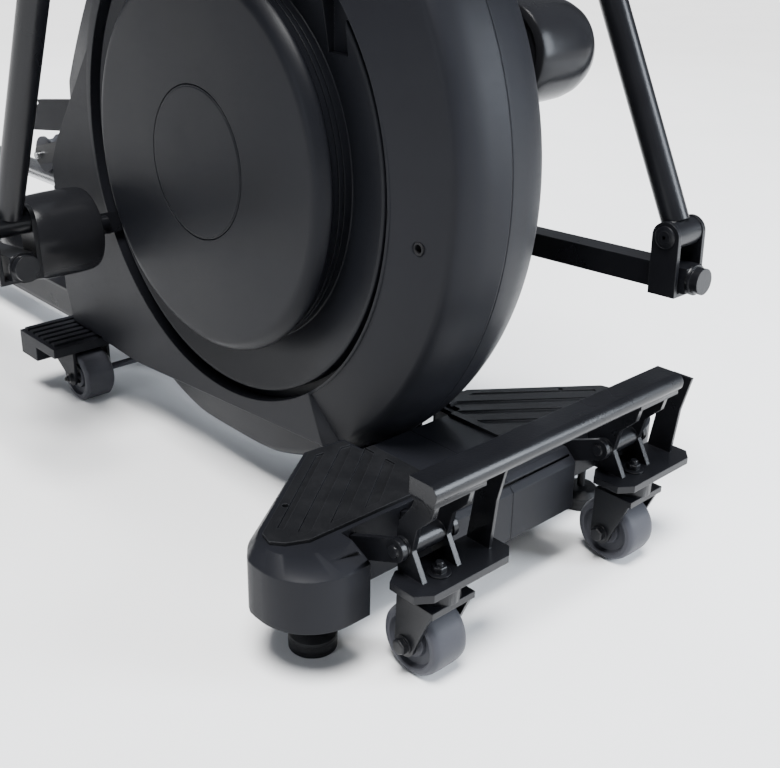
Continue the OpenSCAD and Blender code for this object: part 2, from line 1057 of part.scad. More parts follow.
module link_bar(side) {
    len = link_len(side);
    color(black)
        on_link(side) {
            difference() {
                union() {
                    // square tube
                    translate([-len - 10, -15, -link_drop - 15])
                        cube([len + 34, 30, 30]);
                    // round end cap
                    translate([24, 0, -link_drop])
                        rotate([0, 90, 0]) {
                            cylinder(r = 18, h = 4);
                            cylinder(r = 15.5, h = 14);
                        }
                    // clevis cheeks around the lower bush, wrapped under the tube
                    for (y0 = [-27, 21.4]) {
                        rod_y(17.5, y0, y0 + 5.6);
                        translate([-17.5, y0, -link_drop - 19])
                            cube([35, 5.6, link_drop + 19]);
                    }
                    translate([-17.5, -27, -link_drop - 19])
                        cube([35, 54, 4.5]);
                    // rear ear towards the pedal arm
                    translate([-len, 0, 0])
                        rod_y(15, -15, 15);
                    translate([-len - 15, -15, -link_drop])
                        cube([30, 30, link_drop]);
                }
                // tube wall, open at the rear end
                translate([-len - 20, -12.5, -link_drop - 12.5])
                    cube([len - 20, 25, 25]);
            }
            // clevis pin
            rod_y(8, -30, 30);
            // rear pin that stops short of the pedal arm
            translate([-len, 0, 0])
                rod_y(8, side > 0 ? -80 : -18, side > 0 ? 18 : 80);
        }
}

// ---------- pedal arms ----------

module roller_axle(side) {
    color(steel)
        translate([roller_x(side), 0, roller_z])
            rod_y(7, side * arm_y - 38, side * arm_y + 38);
}

// Grooved roller that runs on the rail tube
module roller(side) {
    r = roller_d / 2;
    color(charcoal)
        translate([roller_x(side), side * arm_y, roller_z])
            difference() {
                turned_y(right)
                    polygon([
                        [7.05, -20], [r, -20], [r, -15], [r - 4, -11], [r - 6.4, -6],
                        [r - 7.3, 0], [r - 6.4, 6], [r - 4, 11], [r, 15], [r, 20], [7.05, 20]
                    ]);
            }
}

// Frame at the roller axle, +X running up the pedal arm to the crank pin
module on_arm(side) {
    translate([roller_x(side), side * arm_y, roller_z])
        rotate([0, -arm_slope(side), 0])
            children();
}

module pedal_arm(side) {
    color(black)
        on_arm(side)
            mirror([0, side < 0 ? 1 : 0, 0])
                difference() {
                    union() {
                        translate([56, -15, -25])
                            cube([arm_len - 56 - 20, 30, 50]);
                        // roller fork
                        for (y0 = [-30, 24]) {
                            rod_y(18, y0, y0 + 6);
                            translate([0, y0, -18])
                                cube([100, 6, 36]);
                        }
                        translate([56, -30, -18])
                            cube([44, 60, 36]);
                        // hub that receives the crank pin
                        translate([arm_len, 0, 0])
                            rod_y(30, -54, 30);
                    }
                    rod_y(7.05, -60, 60);
                    // tube wall, open at the fork
                    translate([50, -12.5, -22.5])
                        cube([arm_len - 50 - 42, 25, 45]);
                    translate([arm_len, 0, 0])
                        rod_y(14, -80, 20);
                    // bore for the pin of the link bar
                    translate([arm_len - link_reach, 0, 0])
                        rod_y(9, -40, 40);
                }
}

// Rounded cover over the crank pin end of the pedal arm
module pod(side) {
    inner = 121 - arm_y;
    color(black)
        on_arm(side)
            translate([arm_len, 0, 0])
                difference() {
                    turned_y(side)
                        polygon([
                            [32, inner], [50, inner], [54, inner + 2], [57, inner + 8],
                            for (a = [0:15:90])
                                [22 + 35 * cos(a), 22 + 35 * sin(a)],
                            [0, 57], [0, 53],
                            for (a = [90:-15:0])
                                [22 + 31 * cos(a), 22 + 31 * sin(a)],
                            [53, inner + 4], [32, inner + 4]
                        ]);
                    // mouth for the arm tube
                    translate([-80, -16, -26])
                        cube([80, 32, 52]);
                }
}

module pedal(side) {
    color(charcoal)
        on_arm(side)
            translate([arm_len - 1010, 0, 25.3])
                rotate([0, arm_slope(side) * 0.5, 0])
                    difference() {
                        translate([0, 0, 0])
                            round_box([380, 128, 56], 40);
                        translate([4, 0, 22])
                            round_box([364, 112, 60], 34);
                        translate([-150, 0, 40])
                            rotate([0, -16, 0])
                                translate([-80, -80, 0])
                                    cube([110, 160, 60]);
                        for (i = [-5:5])
                            translate([i * 28, 0, 20])
                                cube([10, 90, 8], center = true);
                        // wedge that seats the pedal on the arm tube
                        rotate([0, -arm_slope(side) * 0.5, 0])
                            translate([-260, -15.2, -80])
                                cube([520, 30.4, 80]);
                    }
}

// ---------- lift carriage and casters ----------

// Hinged carriage: hand rail, side plates, foot plates and hinge barrels
module lift_carriage() {
    color(black) {
        // flat oval hand rail
        translate([crank_x, 0, 0])
            slab_y(-190, 190)
                union() {
                    translate([470, 218])
                        circle(r = 10);
                    translate([446, 210])
                        square([24, 18]);
                }
        for (side = [left, right])
            translate([crank_x, side * caster_y, 0]) {
                // hinge barrel with its arms up to the rail and down to the foot plate
                difference() {
                    union() {
                        translate([hinge_x - crank_x, 0, hinge_z])
                            rod_y(11, -29, 29);
                        for (y0 = [-26, 20])
                            slab_y(y0, y0 + 6)
                                polygon([
                                    [424, 113], [420, 142], [424, 168], [440, 190], [447, 211],
                                    [472, 211], [466, 186], [448, 168], [442, 142], [458, 113]
                                ]);
                    }
                    translate([hinge_x - crank_x, 0, hinge_z])
                        rod_y(6.05, -60, 60);
                }
                // flange under the rail
                translate([446, -34, 205])
                    cube([30, 68, 5.2]);
                // foot plate that carries the caster
                translate([0, 0, 106])
                    linear_extrude(8)
                        polygon([
                            [424, -30], [424, 70], [436, 85], [466, 85], [477, 72],
                            [477, -30], [466, -46], [434, -46]
                        ]);
                // upright side plate
                slab_y(66, 70)
                    polygon([[426, 112], [436, 180], [447, 212], [472, 212], [462, 170], [456, 112]]);
            }
        // caster kingpins
        for (side = [left, right])
            translate([kingpin_x, side * caster_y, 88])
                cylinder(d = 12, h = 20);
    }
}

module caster_fork(side) {
    color(black)
        translate([wheel_x, side * caster_y, 0])
            difference() {
                union() {
                    // swivel head
                    translate([15, 0, 90])
                        cylinder(d = 44, h = 15.6);
                    translate([-12, -29, 84])
                        cube([48, 58, 7]);
                    // legs
                    for (y0 = [-29, 25])
                        slab_y(y0, y0 + 4)
                            union() {
                                polygon([[-12, 91], [36, 91], [13, 37], [-13, 37]]);
                                translate([0, 37.5])
                                    circle(r = 13);
                            }
                }
                translate([15, 0, 70])
                    cylinder(d = 12.1, h = 40);
                translate([0, 0, 37.5])
                    rod_y(5.05, -60, 60);
            }
}

module caster_wheel(side) {
    color(charcoal)
        translate([wheel_x, side * caster_y, 37.5]) {
            wheel(wheel_d, wheel_w);
            rod_y(5, -36, 36);
            for (y0 = [-38, 29.4])
                translate([0, y0, 0])
                    rotate([-90, 0, 0])
                        cylinder(d = 17, h = 8.6, $fn = 6);
        }
}

// ---------- assembly ----------

main_frame();
front_beam();
front_cover(left);  // front_cover_left
front_cover(right);  // front_cover_right
step_pads();
front_feet();
neck_cover();
mid_block();
transport_wheels();
rear_stabilizer();
rear_feet();
roller_rails();
housing(left);  // housing_left
housing(right);  // housing_right
housing_screws();
mast();
mast_cover();
console_body();
console_screen();
console_key(right);  // console_key_plus
console_key(left);  // console_key_minus
handlebar();
handlebar_grips();
crank_bearings();
flywheel_axle();
drive_belt();
servo_motor();
power_inlet();
swing_shaft();
crank_axle();
crank_arms();
drive_pulley();
disc(left);  // disc_left
disc(right);  // disc_right
disc_caps();
flywheel();
idler_arm();
idler_wheel();
magnet_arm();
swing_arm(left);  // swing_arm_left
swing_arm(right);  // swing_arm_right
swing_grip(left);  // swing_grip_left
swing_grip(right);  // swing_grip_right
link_bar(left);  // link_bar_left
link_bar(right);  // link_bar_right
roller_axle(left);  // roller_axle_left
roller_axle(right);  // roller_axle_right
roller(left);  // roller_left
roller(right);  // roller_right
pedal_arm(left);  // pedal_arm_left
pedal_arm(right);  // pedal_arm_right
pod(left);  // pod_left
pod(right);  // pod_right
pedal(left);  // pedal_left
pedal(right);  // pedal_right
lift_carriage();
caster_fork(left);  // caster_fork_left
caster_fork(right);  // caster_fork_right
caster_wheel(left);  // caster_wheel_left
caster_wheel(right);  // caster_wheel_right
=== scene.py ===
import bpy
import json
import math
from mathutils import Matrix, Vector


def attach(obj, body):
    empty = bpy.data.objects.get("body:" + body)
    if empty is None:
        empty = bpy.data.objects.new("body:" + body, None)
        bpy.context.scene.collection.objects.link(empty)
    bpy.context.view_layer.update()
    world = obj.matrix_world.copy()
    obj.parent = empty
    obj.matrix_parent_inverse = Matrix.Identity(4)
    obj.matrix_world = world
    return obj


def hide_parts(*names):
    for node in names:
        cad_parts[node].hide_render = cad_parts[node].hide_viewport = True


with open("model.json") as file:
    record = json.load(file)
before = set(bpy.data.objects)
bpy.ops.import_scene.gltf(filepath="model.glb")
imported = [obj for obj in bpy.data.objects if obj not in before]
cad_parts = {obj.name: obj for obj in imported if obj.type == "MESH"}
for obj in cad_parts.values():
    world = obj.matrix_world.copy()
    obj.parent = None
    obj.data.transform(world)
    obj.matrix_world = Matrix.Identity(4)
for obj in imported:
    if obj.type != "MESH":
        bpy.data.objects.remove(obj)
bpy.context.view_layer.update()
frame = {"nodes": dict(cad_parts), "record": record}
print("frame loaded")

crankX = 0.564
crankZ = 0.419


cameraSettings = {
    "place": (1.6158, -0.7924, 0.700),
    "pitch": 67.90,
    "heading": 48.47,
    "roll": 0.42,
    "lens": 50.32,
    "shiftX": 0.045,
    "shiftY": -0.0516,
}


def makeCamera(s):
    data = bpy.data.cameras.new("camera")
    data.lens = s["lens"]
    data.sensor_width = 36
    data.shift_x = s["shiftX"]
    data.shift_y = s["shiftY"]
    data.clip_start = 0.02
    camera = bpy.data.objects.new("camera", data)
    turn = Matrix.Rotation(math.radians(s["heading"]), 4, "Z")
    turn = turn @ Matrix.Rotation(math.radians(s["pitch"]), 4, "X")
    turn = turn @ Matrix.Rotation(math.radians(s["roll"]), 4, "Z")
    camera.matrix_world = Matrix.Translation(s["place"]) @ turn
    bpy.context.scene.collection.objects.link(camera)
    bpy.context.scene.camera = camera


lampSettings = [
    # name, place, aim, width, height, watts
    ("softboxTop", (0.5, 0.5, 3.0), (0.5, 0, 0.5), 1.8, 1.0, 8),
    ("softboxFront", (3.1, 1.7, 1.3), (0.6, 0, 0.4), 1.0, 1.8, 150),
    ("softboxLeft", (0.9, -3.1, 1.3), (0.5, 0, 0.4), 0.7, 1.5, 18),
    ("stripRear", (-2.2, 2.4, 2.2), (0.2, 0, 0.5), 0.6, 2.0, 38),
]


def makeLamps(rows):
    for name, place, aim, width, height, watts in rows:
        data = bpy.data.lights.new(name, "AREA")
        data.shape = "RECTANGLE"
        data.size = width
        data.size_y = height
        data.energy = watts
        data.color = (0.84, 0.91, 1.0)
        lamp = bpy.data.objects.new(name, data)
        lamp.location = place
        away = Vector(place) - Vector(aim)
        lamp.rotation_euler = away.to_track_quat("Z", "Y").to_euler()
        bpy.context.scene.collection.objects.link(lamp)


# broad overhead light that keeps the floor pale
def makeSky(strength, spread):
    data = bpy.data.lights.new("overhead", "SUN")
    data.energy = strength
    data.angle = math.radians(spread)
    sky = bpy.data.objects.new("overhead", data)
    sky.rotation_euler = (math.radians(14), math.radians(10), 0)
    bpy.context.scene.collection.objects.link(sky)


makeCamera(cameraSettings)
makeLamps(lampSettings)
makeSky(8, 26)
print("camera and lamps placed")


# a shader output that can be used in sums
class Wire:
    def __init__(self, finish, socket):
        self.finish = finish
        self.socket = socket

    def sum(self, operation, first, second=None):
        settings = {"operation": operation}
        inputs = {0: first} if second is None else {0: first, 1: second}
        return self.finish.node("ShaderNodeMath", settings, inputs)

    def __add__(self, other):
        return self.sum("ADD", self, other)

    def __radd__(self, other):
        return self.sum("ADD", other, self)

    def __sub__(self, other):
        return self.sum("SUBTRACT", self, other)

    def __rsub__(self, other):
        return self.sum("SUBTRACT", other, self)

    def __mul__(self, other):
        return self.sum("MULTIPLY", self, other)

    def __rmul__(self, other):
        return self.sum("MULTIPLY", other, self)


class Finish:
    def __init__(self, name):
        self.material = bpy.data.materials.new(name)
        self.material.use_nodes = True
        self.tree = self.material.node_tree
        self.tree.nodes.clear()
        self.shader = self.tree.nodes.new("ShaderNodeBsdfPrincipled")
        output = self.tree.nodes.new("ShaderNodeOutputMaterial")
        self.tree.links.new(self.shader.outputs[0], output.inputs["Surface"])
        self.place = self.node("ShaderNodeTexCoord", out="Object")

    # any node: its type, its settings, its inputs, and which output is wanted
    def node(self, kind, settings=None, inputs=None, out=0):
        made = self.tree.nodes.new(kind)
        for key, value in (settings or {}).items():
            if key == "stops":
                ramp = made.color_ramp
                while len(ramp.elements) < len(value):
                    ramp.elements.new(0.5)
                for stop, (spot, tone) in zip(ramp.elements, value):
                    stop.position = spot
                    stop.color = tone
            else:
                setattr(made, key, value)
        for key, value in (inputs or {}).items():
            self.feed(made.inputs[key], value)
        return Wire(self, made.outputs[out])

    def feed(self, socket, value):
        if isinstance(value, Wire):
            self.tree.links.new(value.socket, socket)
        else:
            socket.default_value = value

    def set(self, **inputs):
        for key, value in inputs.items():
            self.feed(self.shader.inputs[key.replace("_", " ")], value)

    def noise(self, scale, detail=2, rough=0.5, at=None):
        inputs = {"Vector": at or self.place, "Scale": scale, "Detail": detail, "Roughness": rough}
        return self.node("ShaderNodeTexNoise", None, inputs)

    def stretched(self, along):
        return self.node("ShaderNodeMapping", None, {"Vector": self.place, "Scale": along})

    def spread(self, value, low, high, fromLow=0.3, fromHigh=0.7):
        inputs = {"Value": value, "From Min": fromLow, "From Max": fromHigh, "To Min": low, "To Max": high}
        return self.node("ShaderNodeMapRange", {"clamp": True}, inputs)

    def blend(self, factor, first, second):
        inputs = {"Factor": factor, 6: first, 7: second}
        return self.node("ShaderNodeMix", {"data_type": "RGBA"}, inputs, out=2)

    # rounded edge normal, and a mask that is 1 on the rounded edges
    def softEdge(self, radius):
        rounded = self.node("ShaderNodeBevel", {"samples": 4}, {"Radius": radius})
        flat = self.node("ShaderNodeNewGeometry", out="Normal")
        pair = {0: rounded, 1: flat}
        facing = self.node("ShaderNodeVectorMath", {"operation": "DOT_PRODUCT"}, pair, out="Value")
        return rounded, self.spread(1 - facing, 0, 1, 0.01, 0.12)

    def relief(self, height, depth, under=None, strength=1.0):
        inputs = {"Height": height, "Distance": depth, "Strength": strength}
        if under is not None:
            inputs["Normal"] = under
        self.set(Normal=self.node("ShaderNodeBump", None, inputs))


def rgb(tone):
    return (tone[0], tone[1], tone[2], 1)


def lighter(tone, by):
    return (min(1, tone[0] * by), min(1, tone[1] * by), min(1, tone[2] * by), 1)


# moulded plastic: spark texture, cloudy gloss, slightly polished edges with a painted highlight along them
def mouldedPlastic(name, tone, gloss, grain, depth, edge, edgeHighlight=1.5):
    f = Finish(name)
    cloud = f.noise(7, 4, 0.6)
    speck = f.noise(grain, 3, 0.6)
    rub = f.noise(46, 5, 0.7, f.stretched((1, 1, 3)))
    rounded, rim = f.softEdge(edge)
    body = f.blend(f.spread(cloud, 0, 1), rgb(tone), lighter(tone, 1.22))
    body = f.blend(f.spread(speck, 0, 0.35, 0.45, 0.75), body, lighter(tone, 1.7))
    # painted highlight: the colour is lightened along the rounded edges
    body = f.blend(rim * 0.55, body, lighter(tone, edgeHighlight))
    f.set(Base_Color=body)
    rough = f.spread(cloud, gloss - 0.05, gloss + 0.05) + f.spread(rub, 0, 0.07, 0.5, 0.8)
    f.set(Roughness=rough - rim * 0.06)
    f.set(Specular_IOR_Level=0.10)
    f.relief(speck + 0.25 * cloud, depth, rounded)
    return f.material


# powder coat on steel tube: orange peel under a clear gloss
def powderCoat(name, tone, gloss, edge):
    f = Finish(name)
    peel = f.noise(420, 2, 0.4)
    fleck = f.noise(2600, 1, 0.5)
    cloud = f.noise(9, 3, 0.6)
    rounded, rim = f.softEdge(edge)
    body = f.blend(f.spread(cloud, 0, 1), rgb(tone), lighter(tone, 1.3))
    body = f.blend(f.spread(fleck, 0, 0.4, 0.6, 0.75), body, lighter(tone, 2.4))
    # painted highlight: the colour is lightened along the rounded edges
    body = f.blend(rim * 0.5, body, lighter(tone, 1.9))
    f.set(Base_Color=body, Roughness=f.spread(cloud, gloss - 0.05, gloss + 0.06) + rim * 0.08)
    f.set(Coat_Weight=0.06, Coat_Roughness=0.14, Specular_IOR_Level=0.2)
    f.relief(peel, 0.00012, rounded)
    return f.material


def rubber(name, tone, gloss, grain, depth, edge):
    f = Finish(name)
    pore = f.node("ShaderNodeTexVoronoi", None, {"Vector": f.place, "Scale": grain})
    dust = f.noise(30, 5, 0.7)
    rounded, rim = f.softEdge(edge)
    body = f.blend(f.spread(dust, 0, 0.6, 0.45, 0.8), rgb(tone), lighter(tone, 1.8))
    # painted highlight: the colour is lightened along the rounded edges
    body = f.blend(rim * 0.7, body, lighter(tone, 4.5))
    f.set(Base_Color=body, Roughness=f.spread(dust, gloss - 0.05, gloss + 0.07), Specular_IOR_Level=0.2)
    f.relief(pore, depth, rounded)
    return f.material


def bareSteel(name, tone, gloss, along, edge):
    f = Finish(name)
    brush = f.noise(90, 6, 0.7, f.stretched(along))
    cloud = f.noise(14, 4, 0.6)
    rounded, rim = f.softEdge(edge)
    body = f.blend(f.spread(brush, 0, 1), lighter(tone, 0.72), rgb(tone))
    body = f.blend(f.spread(cloud, 0, 0.3, 0.5, 0.8), body, rgb((tone[0], tone[1] * 0.93, tone[2] * 0.86)))
    f.set(Base_Color=body, Metallic=1.0)
    f.set(Roughness=f.spread(brush, gloss - 0.06, gloss + 0.1) - rim * 0.08)
    f.relief(brush, 0.00008, rounded)
    return f.material


def castIron(name, tone, gloss, edge):
    f = Finish(name)
    sand = f.noise(520, 5, 0.7)
    rust = f.noise(22, 5, 0.7)
    rounded, rim = f.softEdge(edge)
    body = f.blend(f.spread(sand, 0, 1), lighter(tone, 0.7), lighter(tone, 1.25))
    body = f.blend(f.spread(rust, 0, 0.25, 0.55, 0.8), body, rgb((0.16, 0.09, 0.06)))
    # painted highlight: the colour is lightened along the rounded edges
    body = f.blend(rim * 0.6, body, lighter(tone, 2.2))
    f.set(Base_Color=body, Metallic=0.8, Roughness=f.spread(sand, gloss - 0.1, gloss + 0.12))
    f.relief(sand, 0.0005, rounded)
    return f.material


# display window: dark glass over a faint grid of liquid crystal cells
def displayGlass(name):
    f = Finish(name)
    cells = f.node("ShaderNodeTexBrick", {"offset": 0.0},
                   {"Vector": f.place, "Color1": (0.012, 0.02, 0.02, 1), "Color2": (0.016, 0.026, 0.026, 1),
                    "Mortar": (0.005, 0.008, 0.008, 1), "Scale": 120, "Mortar Size": 0.03})
    smear = f.noise(18, 4, 0.7)
    f.set(Base_Color=cells, Roughness=f.spread(smear, 0.05, 0.16), Coat_Weight=0.8, Coat_Roughness=0.04)
    f.relief(smear, 0.00002)
    return f.material


def paleFloor():
    f = Finish("paleFloor")
    cloud = f.noise(3, 3, 0.5)
    f.set(Base_Color=f.blend(f.spread(cloud, 0, 1), (0.93, 0.93, 0.93, 1), (0.95, 0.95, 0.95, 1)))
    f.set(Roughness=f.spread(cloud, 0.72, 0.8))
    f.relief(f.noise(60, 2, 0.5), 0.0001)
    return f.material


finishes = {
    "frame_paint": powderCoat("blackPowderCoat", (0.0048, 0.0050, 0.0062), 0.30, 0.0015),
    "shell": mouldedPlastic("charcoalShell", (0.0080, 0.0084, 0.0105), 0.40, 1500, 0.00012, 0.0022),
    "disc_shell": mouldedPlastic("charcoalDisc", (0.0062, 0.0066, 0.0084), 0.38, 1700, 0.0001, 0.0016),
    "pod_shell": mouldedPlastic("glossPod", (0.009, 0.0092, 0.0105), 0.22, 2200, 0.00003, 0.003),
    "wheel": mouldedPlastic("wheelNylon", (0.040, 0.041, 0.048), 0.42, 1300, 0.00012, 0.0015),
    "key": mouldedPlastic("keyCap", (0.11, 0.115, 0.125), 0.45, 1800, 0.00008, 0.001),
    "electric": mouldedPlastic("partCase", (0.012, 0.012, 0.013), 0.5, 1400, 0.0001, 0.001),
    "pad": rubber("ribbedPad", (0.0062, 0.0064, 0.0074), 0.46, 900, 0.00015, 0.0012),
    "grip": rubber("foamGrip", (0.012, 0.012, 0.0125), 0.78, 700, 0.0005, 0.002),
    "belt": rubber("driveBelt", (0.01, 0.01, 0.01), 0.7, 600, 0.0003, 0.0006),
    "steel": bareSteel("bareSteel", (0.56, 0.57, 0.59), 0.28, (1, 30, 30), 0.0008),
    "iron": castIron("castIron", (0.07, 0.07, 0.075), 0.5, 0.0015),
    "screen": displayGlass("displayGlass"),
}

for row in frame["record"]["subparts"]:
    node = frame["nodes"][row["node"]]
    node.data.materials.clear()
    node.data.materials.append(finishes[row["material_slot"]])
print("finishes made")


def nothingSelected():
    if bpy.context.object is not None and bpy.context.object.mode != "OBJECT":
        bpy.ops.object.mode_set(mode="OBJECT")
    bpy.ops.object.select_all(action="DESELECT")
    bpy.context.view_layer.objects.active = None


nothingSelected()
bpy.ops.mesh.primitive_plane_add(size=30, location=(0, 0, -0.0004))
floor = bpy.context.object
floor.name = "floor"
floor.data.materials.append(paleFloor())
world = bpy.data.worlds.new("studio")
bpy.context.scene.world = world
world.use_nodes = True
world.node_tree.nodes["Background"].inputs["Color"].default_value = (0.9, 0.93, 1.0, 1)
world.node_tree.nodes["Background"].inputs["Strength"].default_value = 0.18


# modelling helpers

def inEdit(piece):
    nothingSelected()
    bpy.context.view_layer.objects.active = piece
    piece.select_set(True)
    bpy.ops.object.mode_set(mode="EDIT")


def outOfEdit():
    bpy.ops.object.mode_set(mode="OBJECT")


# places the active piece, then puts the place into its mesh
def settle(piece, name, centre=(0, 0, 0), turn=(0, 0, 0)):
    nothingSelected()
    piece.name = name
    piece.data.name = name
    bpy.context.view_layer.objects.active = piece
    piece.select_set(True)
    piece.rotation_euler = [math.radians(v) for v in turn]
    piece.location = centre
    bpy.ops.object.transform_apply(location=True, rotation=True, scale=True)
    return piece


def roundEdges(piece, width, segments=3, angle=30):
    nothingSelected()
    bpy.context.view_layer.objects.active = piece
    piece.select_set(True)
    bevel = piece.modifiers.new("roundEdges", "BEVEL")
    bevel.width = width
    bevel.segments = segments
    bevel.limit_method = "ANGLE"
    bevel.angle_limit = math.radians(angle)
    bpy.ops.object.modifier_apply(modifier=bevel.name)


def finishPiece(piece, finish, body, smooth=35):
    inEdit(piece)
    bpy.ops.mesh.select_all(action="SELECT")
    bpy.ops.mesh.remove_doubles(threshold=0.00001)
    bpy.ops.mesh.normals_make_consistent(inside=False)
    outOfEdit()
    bpy.ops.object.shade_smooth_by_angle(angle=math.radians(smooth))
    weighted = piece.modifiers.new("weighted", "WEIGHTED_NORMAL")
    weighted.keep_sharp = True
    bpy.ops.object.modifier_apply(modifier=weighted.name)
    piece.data.materials.clear()
    piece.data.materials.append(finish)
    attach(piece, body)
    return piece


# cuts blocks or cylinders out of a piece; the cutters are removed
def cutAway(piece, cutters):
    for cutter in cutters:
        nothingSelected()
        bpy.context.view_layer.objects.active = piece
        piece.select_set(True)
        cut = piece.modifiers.new("cut", "BOOLEAN")
        cut.operation = "DIFFERENCE"
        cut.solver = "EXACT"
        cut.object = cutter
        bpy.ops.object.modifier_apply(modifier=cut.name)
        bpy.data.objects.remove(cutter, do_unlink=True)


def cutterBlock(size, matrix):
    nothingSelected()
    bpy.ops.mesh.primitive_cube_add(size=1)
    cutter = bpy.context.object
    cutter.matrix_world = matrix @ Matrix.Diagonal((size[0], size[1], size[2], 1))
    bpy.ops.object.transform_apply(location=True, rotation=True, scale=True)
    return cutter


def cutterRound(radius, centre, length, sides=192):
    nothingSelected()
    bpy.ops.mesh.primitive_cylinder_add(vertices=sides, radius=radius, depth=length, location=centre,
                                        rotation=(math.radians(90), 0, 0))
    bpy.ops.object.transform_apply(location=True, rotation=True, scale=True)
    return bpy.context.object


# a round piece grown from a disc: each step is (radius, height along the axis)
def turnedPiece(name, steps, centre=(0, 0, 0), turn=(0, 0, 0), sides=64, fill="NGON"):
    nothingSelected()
    radius, height = steps[0]
    bpy.ops.mesh.primitive_circle_add(vertices=sides, radius=radius, fill_type=fill, location=(0, 0, height))
    bpy.ops.object.transform_apply(location=True, rotation=False, scale=False)
    piece = bpy.context.object
    inEdit(piece)
    bpy.ops.mesh.select_all(action="SELECT")
    for (radius, height), (nextRadius, nextHeight) in zip(steps, steps[1:]):
        bpy.ops.mesh.extrude_region_move(TRANSFORM_OT_translate={"value": (0, 0, nextHeight - height)})
        grow = nextRadius / radius
        bpy.ops.transform.resize(value=(grow, grow, 1), center_override=(0, 0, nextHeight))
    outOfEdit()
    return settle(piece, name, centre, turn)


# a block with rounded edges
def blockPiece(name, size, centre, turn=(0, 0, 0), edge=0.002):
    nothingSelected()
    bpy.ops.mesh.primitive_cube_add(size=1)
    piece = bpy.context.object
    piece.scale = size
    bpy.ops.object.transform_apply(location=False, rotation=False, scale=True)
    settle(piece, name, centre, turn)
    roundEdges(piece, edge)
    return piece


axisY = (-90, 0, 0)   # the turned piece's height runs along +Y
axisYBack = (90, 0, 0)   # and along -Y

bodyOf = {}
for body, members in frame["record"]["behaviour"]["bodies"].items():
    for member in members:
        bodyOf[member] = body
slotOf = {row["node"]: row["material_slot"] for row in frame["record"]["subparts"]}


def finishAs(piece, node, smooth=35, finish=None, slotName=None):
    name = slotName or slotOf[node]
    return finishPiece(piece, finish or finishes[name], bodyOf[node], smooth)


def joined(pieces, name):
    nothingSelected()
    for piece in pieces:
        piece.select_set(True)
    bpy.context.view_layer.objects.active = pieces[0]
    bpy.ops.object.join()
    pieces[0].name = name
    pieces[0].data.name = name
    return pieces[0]


# moulded and welded shells: a merged copy of the node with smooth rounds
shellSettings = {
    "angle": 32,
    "flat": 0.4,
    "plain": ["housing_left", "housing_right", "mast_cover", "front_cover_left", "front_cover_right",
              "console_body",
              "disc_caps", "swing_arm_left", "swing_arm_right", "link_bar_left",
              "link_bar_right", "pedal_arm_left", "pedal_arm_right", "pedal_left", "pedal_right",
              "caster_fork_left", "caster_fork_right", "lift_carriage", "transport_wheels", "handlebar",
              "swing_shaft", "roller_rails", "roller_left", "roller_right", "roller_axle_left",
              "roller_axle_right", "front_feet", "rear_feet", "crank_arms", "rear_stabilizer", "mast",
              "main_frame", "front_beam", "power_inlet", "drive_belt", "drive_pulley", "flywheel"],
}


def smoothShell(node, angle, flat):
    source = frame["nodes"][node]
    name = node + "_skin"
    piece = bpy.data.objects.new(name, source.data.copy())
    piece.data.name = name
    bpy.context.scene.collection.objects.link(piece)
    piece.matrix_world = source.matrix_world.copy()
    nothingSelected()
    bpy.context.view_layer.objects.active = piece
    piece.select_set(True)
    bpy.ops.object.transform_apply(location=True, rotation=True, scale=True)
    inEdit(piece)
    bpy.ops.mesh.select_all(action="SELECT")
    bpy.ops.mesh.remove_doubles(threshold=0.00001)
    bpy.ops.mesh.dissolve_limited(angle_limit=math.radians(flat))
    outOfEdit()
    finishAs(piece, node, angle)
    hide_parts(node)
    return piece


def makeShells(s):
    for node in s["plain"]:
        smoothShell(node, s["angle"], s["flat"])


makeShells(shellSettings)
print("shells copied")


# side discs: raised middle, grooved wall, dished rim and dust lip
discSettings = {
    "sides": 192,
    "steps": [(0.2995, 0.0497), (0.3000, 0.0500), (0.3000, 0.0515), (0.2820, 0.0515), (0.2820, 0.0712),
              (0.2813, 0.0724), (0.2790, 0.0730), (0.2770, 0.0727), (0.2195, 0.0590), (0.2185, 0.0600),
              (0.2196, 0.0705), (0.2176, 0.0705), (0.2176, 0.0725), (0.2200, 0.0725), (0.2206, 0.0785),
              (0.2186, 0.0785), (0.2186, 0.0805), (0.2210, 0.0805), (0.2222, 0.0885), (0.2258, 0.0922),
              (0.2262, 0.0935), (0.2258, 0.0958), (0.2245, 0.0982), (0.2222, 0.1012), (0.2190, 0.1045),
              (0.2160, 0.1068), (0.2125, 0.1082), (0.2080, 0.1085), (0.0902, 0.1085), (0.0898, 0.1082),
              (0.0898, 0.1035), (0.0888, 0.1035), (0.0888, 0.1082), (0.0884, 0.1085), (0.0100, 0.1085)],
    "channel": ((0.183, 0.222), (0.054, 0.081), (0.139, 0.269)),
    "notch": ((0.2800, 0.2920), (0.045, 0.099), (-0.016, 0.016)),
    "pinAngle": 27,
}


# a block given by its ranges, turned about the crank axis
def discCutter(ranges, out, angle):
    size = [high - low for low, high in ranges]
    middle = [(high + low) / 2 for low, high in ranges]
    spot = Matrix.Translation((crankX, 0, crankZ)) @ Matrix.Rotation(math.radians(angle), 4, "Y")
    spot = spot @ Matrix.Translation((middle[0], out * middle[1], middle[2]))
    return cutterBlock(size, spot)


def makeDiscs(s):
    for side, out, turn in (("left", -1, axisYBack), ("right", 1, axisY)):
        disc = turnedPiece("disc", s["steps"], (crankX, 0, crankZ), turn, s["sides"])
        inEdit(disc)
        bpy.ops.mesh.select_all(action="SELECT")
        bpy.ops.mesh.normals_make_consistent(inside=False)
        outOfEdit()
        channel = discCutter(s["channel"], out, 180 if out > 0 else 0)
        notch = discCutter(s["notch"], out, -s["pinAngle"] if out > 0 else 180 - s["pinAngle"])
        cutAway(disc, [channel, notch])
        disc.name = "discShell_" + side
        disc.data.name = disc.name
        finishAs(disc, "disc_" + side, 30)
        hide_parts("disc_" + side)


makeDiscs(discSettings)
print("discs made")


